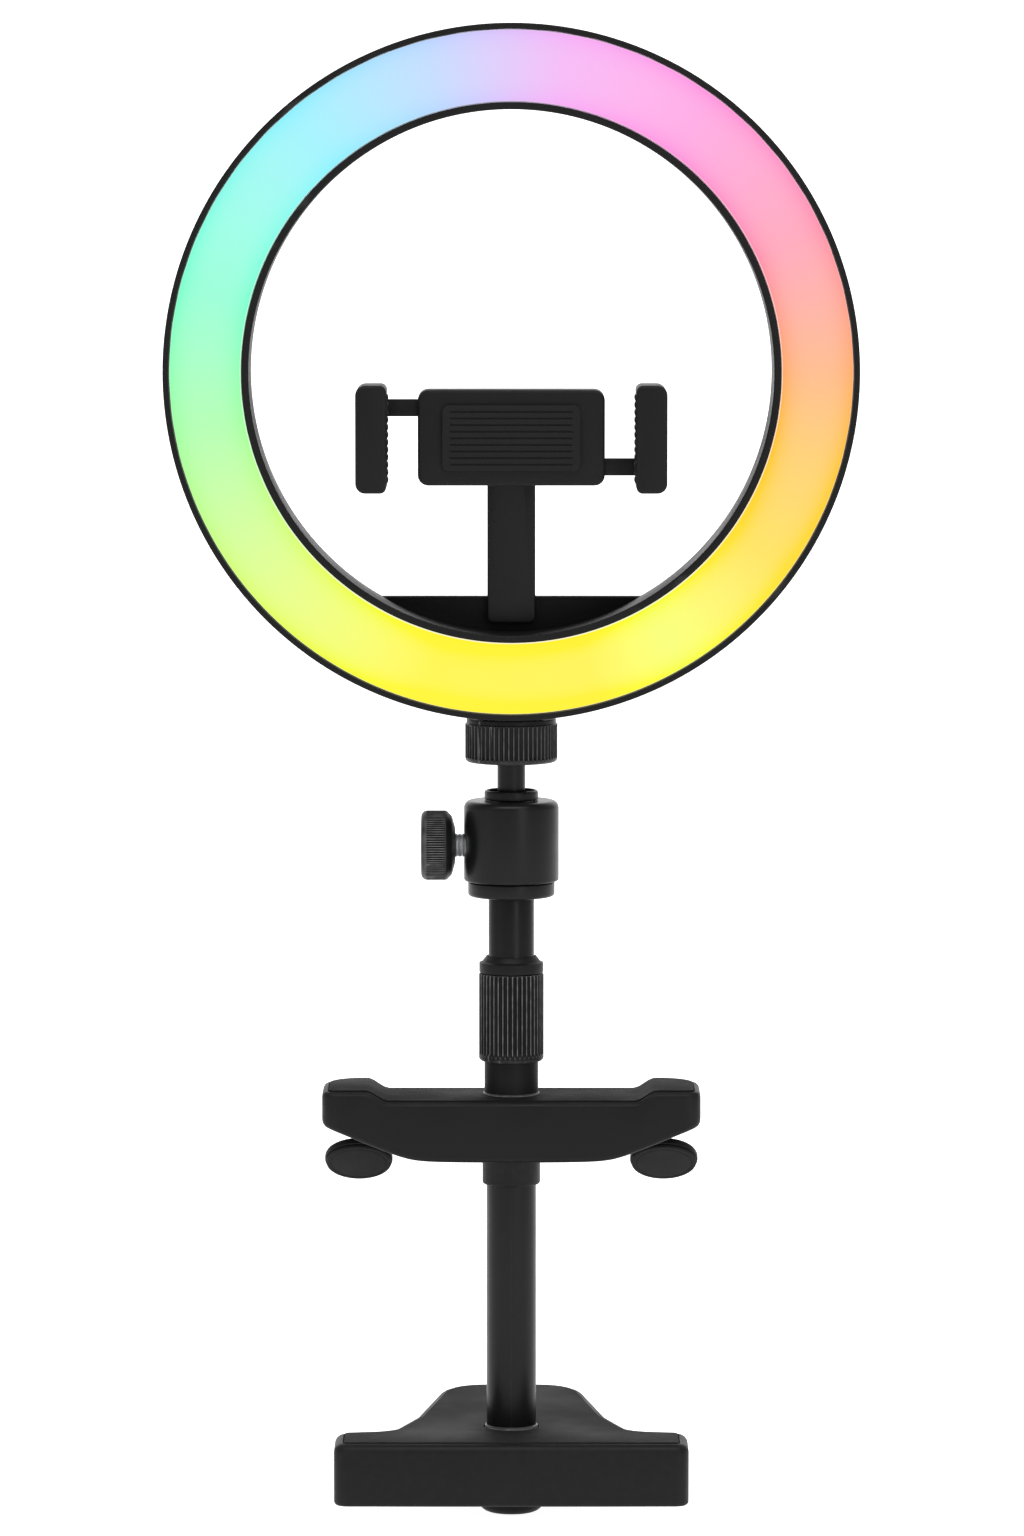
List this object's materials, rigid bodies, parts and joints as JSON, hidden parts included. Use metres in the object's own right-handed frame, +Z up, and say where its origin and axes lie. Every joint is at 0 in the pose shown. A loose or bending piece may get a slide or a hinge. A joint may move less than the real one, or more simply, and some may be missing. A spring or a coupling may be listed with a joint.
{
  "type": "ring light",
  "caption": "Clamp-on ring light: a lit annulus with a phone grip at its centre, on a ball head and a telescoping pole with a desk clamp.",
  "frame": {"origin": "centre of the lower jaw's gripping face, 30 mm behind the pole's axis", "axes": "+Z up along the pole, the light faces -Y, +X to the right seen from the front"},
  "size_m": [0.2012, 0.103, 0.437],
  "materials": {
    "black_plastic": "satin moulded",
    "black_metal": "black anodised, satin",
    "rubber": "matt",
    "diffuser_glow": "milky, lit from behind in all colours round the ring",
    "steel": "zinc plated",
    "brass": "turned",
    "white_plastic": "satin",
    "circuit_board": "solder mask"
  },
  "bodies": {
    "clamp_base": {"lower_jaw": "black_plastic", "lower_jaw_pad": "rubber", "base_cap": "black_plastic", "base_screw": "steel", "lower_tube": "black_metal", "tube_plug": "black_plastic", "collet": "black_plastic"},
    "twist_lock": {"twist_collar": "black_plastic", "collar_cap": "black_plastic"},
    "sliding_jaw": {"upper_jaw": "black_plastic", "upper_jaw_cover": "black_plastic", "jaw_lock_insert": "brass", "left_ball_stud": "steel", "right_ball_stud": "steel"},
    "jaw_lock": {"jaw_lock_knob": "black_plastic", "jaw_lock_screw": "steel"},
    "left_pad": {"left_swivel_pad": "black_plastic", "left_pad_face": "rubber"},
    "right_pad": {"right_swivel_pad": "black_plastic", "right_pad_face": "rubber"},
    "mast": {"upper_tube": "black_metal", "upper_tube_foot": "black_plastic", "head_base": "black_metal", "pan_bolt": "steel"},
    "head": {"ball_housing": "black_metal", "neck_ring": "black_metal", "ball_seat": "white_plastic", "clamp_shoe": "brass"},
    "ball_lock": {"lock_knob": "black_plastic", "lock_stud": "steel"},
    "ball": {"ball_stem": "steel"},
    "stem_nut": {"locknut": "black_metal"},
    "ring": {"rear_shell": "black_plastic", "diffuser": "diffuser_glow", "light_tray": "white_plastic", "led_board": "circuit_board", "driver_board": "circuit_board", "mount_insert": "brass", "power_inlet": "steel", "shell_screw_1": "steel", "shell_screw_2": "steel", "shell_screw_3": "steel", "shell_screw_4": "steel", "shell_screw_5": "steel", "shell_screw_6": "steel", "holder_arm": "black_metal", "arm_screw_left": "steel", "arm_screw_right": "steel", "swivel_bolt": "steel", "swivel_washer": "white_plastic", "swivel_nut": "black_plastic"},
    "holder": {"holder_shell": "black_plastic", "holder_plate": "black_plastic", "holder_rest": "rubber", "grip_spring": "steel"},
    "left_grip": {"left_grip_jaw": "black_plastic", "left_grip_pad": "rubber"},
    "right_grip": {"right_grip_jaw": "black_plastic", "right_grip_pad": "rubber"},
    "pinion": {"grip_pinion": "white_plastic"}
  },
  "joints": [
    {"name": "mast_slide", "type": "slide", "parent": "clamp_base", "child": "mast", "axis": [0, 0, 1], "range_m": [-0.014, 0.1]},
    {"name": "twist_lock_turn", "type": "hinge", "parent": "clamp_base", "child": "twist_lock", "pos_m": [0, -0.03, 0.122], "axis": [0, 0, 1], "range_deg": [-120, 0]},
    {"name": "jaw_slide", "type": "slide", "parent": "clamp_base", "child": "sliding_jaw", "axis": [0, 0, 1], "range_m": [-0.068, 0]},
    {"name": "jaw_lock_turn", "type": "hinge", "parent": "sliding_jaw", "child": "jaw_lock", "pos_m": [0, -0.01, 0.0889], "axis": [0, 1, 0], "range_deg": [-180, 60]},
    {"name": "left_pad_tilt", "type": "hinge", "parent": "sliding_jaw", "child": "left_pad", "pos_m": [-0.045, -0.021, 0.0812], "axis": [1, 0, 0], "range_deg": [-2, 40]},
    {"name": "right_pad_tilt", "type": "hinge", "parent": "sliding_jaw", "child": "right_pad", "pos_m": [0.045, -0.021, 0.0812], "axis": [1, 0, 0], "range_deg": [-2, 40]},
    {"name": "head_pan", "type": "hinge", "parent": "mast", "child": "head", "pos_m": [0, -0.03, 0.172], "axis": [0, 0, 1], "continuous": true},
    {"name": "ball_lock_turn", "type": "hinge", "parent": "head", "child": "ball_lock", "pos_m": [-0.02, -0.03, 0.1723], "axis": [1, 0, 0], "range_deg": [-180, 60]},
    {"name": "ball_tilt", "type": "hinge", "parent": "head", "child": "ball", "pos_m": [0, -0.03, 0.18], "axis": [1, 0, 0], "range_deg": [-16, 16]},
    {"name": "locknut_turn", "type": "hinge", "parent": "ball", "child": "stem_nut", "pos_m": [0, -0.03, 0.203], "axis": [0, 0, 1], "range_deg": [-180, 180]},
    {"name": "ring_spin", "type": "hinge", "parent": "ball", "child": "ring", "pos_m": [0, -0.03, 0.215], "axis": [0, 0, 1], "range_deg": [-180, 180]},
    {"name": "holder_spin", "type": "hinge", "parent": "ring", "child": "holder", "pos_m": [0, -0.03, 0.2926], "axis": [0, 1, 0], "range_deg": [-90, 90]},
    {"name": "left_grip_slide", "type": "slide", "parent": "holder", "child": "left_grip", "axis": [-1, 0, 0], "range_m": [-0.0075, 0.007]},
    {"name": "right_grip_slide", "type": "slide", "parent": "holder", "child": "right_grip", "axis": [1, 0, 0], "range_m": [-0.0075, 0.007]},
    {"name": "pinion_turn", "type": "hinge", "parent": "holder", "child": "pinion", "pos_m": [0, -0.03, 0.2926], "axis": [0, 1, 0], "range_deg": [-115, 115]}
  ],
  "couplings": [
    {"joint": "right_grip_slide", "follows": "left_grip_slide", "ratio": 1},
    {"joint": "pinion_turn", "follows": "left_grip_slide", "rad_per_m": -250}
  ]
}
